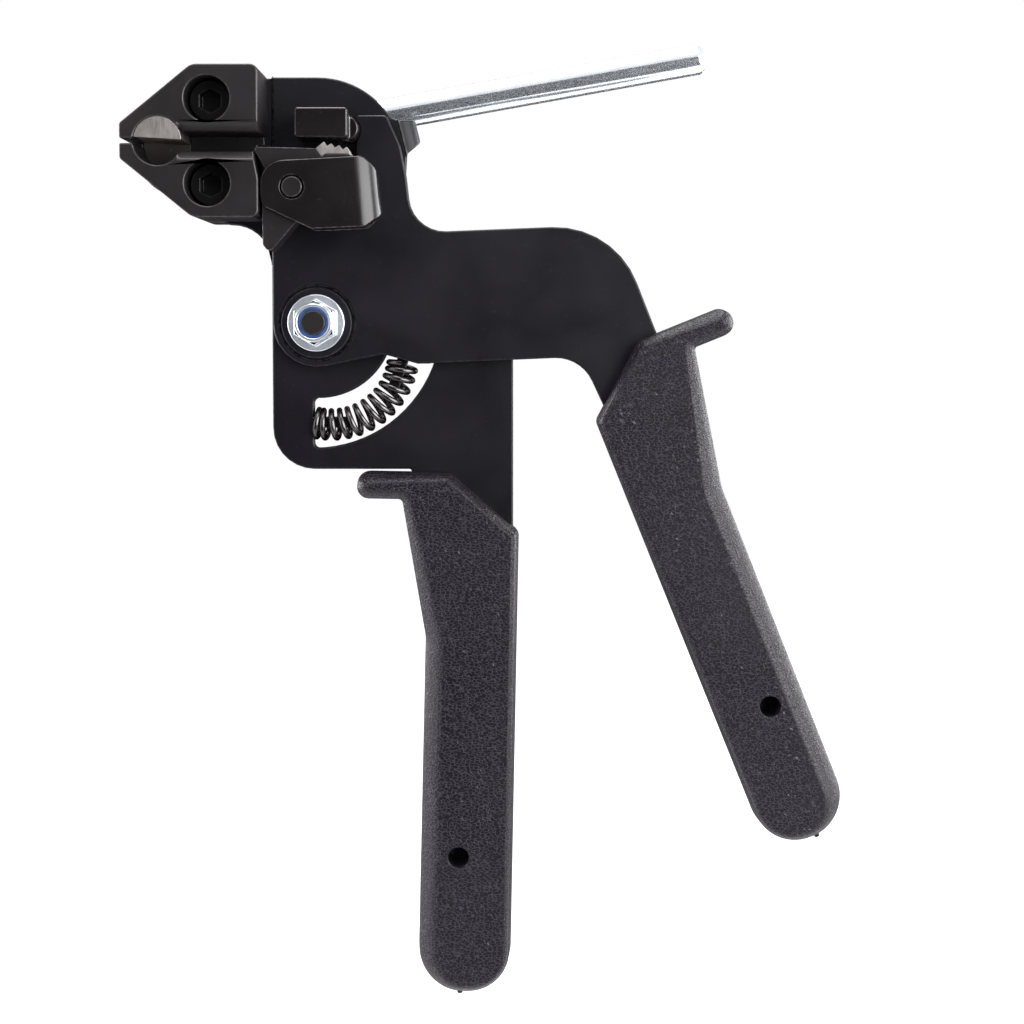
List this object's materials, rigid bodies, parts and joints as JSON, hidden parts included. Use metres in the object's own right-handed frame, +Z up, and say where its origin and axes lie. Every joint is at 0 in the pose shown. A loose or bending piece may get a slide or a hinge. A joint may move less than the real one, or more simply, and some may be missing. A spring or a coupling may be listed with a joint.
{
  "type": "cable tie tensioning tool",
  "caption": "Hand tool that tensions and cuts steel cable ties: plate body with slotted nose, cutter lever, toothed pawl, curved return spring and plastic grips.",
  "frame": {"origin": "middle of the fixed grip's hang hole", "axes": "+X to the right as the tool is seen with its nose at the left, +Y along the pivot away from the viewer, +Z up from the grips to the head"},
  "size_m": [0.1794, 0.0419, 0.243],
  "materials": {
    "black_plate": "satin black oxide on sheet steel",
    "black_block": "satin black oxide on machined steel, worn a little at the edges",
    "black_screw": "black oxide",
    "black_wire": "oiled black steel",
    "grip_plastic": "grained charcoal",
    "zinc": "bright zinc plate",
    "bare_steel": "ground",
    "blue_nylon": "satin"
  },
  "bodies": {
    "base": {"fixed_plate": "black_plate", "left_grip": "grip_plastic", "nose_front": "black_block", "nose_rear": "black_block", "cap_screw_upper": "black_screw", "cap_screw_lower": "black_screw", "pivot_bolt": "black_screw", "pivot_washer": "black_screw", "lock_nut": "zinc", "nylon_ring": "blue_nylon", "return_spring": "black_wire"},
    "handle": {"moving_plate": "black_plate", "right_grip": "grip_plastic", "spring_driver": "black_plate", "anvil_block": "black_block", "pawl_pin": "black_wire"},
    "pawl": {"pawl_jaw": "black_block", "tooth_strip": "bare_steel", "pawl_clip": "black_block"},
    "lever": {"cutter_shaft": "bare_steel", "lever_hub": "black_block", "lever_rod": "zinc", "hub_screw": "black_screw"}
  },
  "joints": [
    {"name": "handle_hinge", "type": "hinge", "parent": "base", "child": "handle", "pos_m": [-0.03522, -0.0048, 0.13433], "axis": [0, 1, 0], "range_deg": [0, 20], "stiffness_Nm_per_rad": 1, "springref_deg": -28.65, "deforming": ["return_spring"]},
    {"name": "pawl_hinge", "type": "hinge", "parent": "handle", "child": "pawl", "pos_m": [-0.03982, -0.0048, 0.16713], "axis": [0, 1, 0], "range_deg": [-5, 0]},
    {"name": "lever_hinge", "type": "hinge", "parent": "base", "child": "lever", "pos_m": [-0.07212, -0.0048, 0.17813], "axis": [0, 1, 0], "range_deg": [-80, 0]}
  ],
  "couplings": [
    {"joint": "pawl_hinge", "follows": "handle_hinge", "ratio": -0.25}
  ]
}
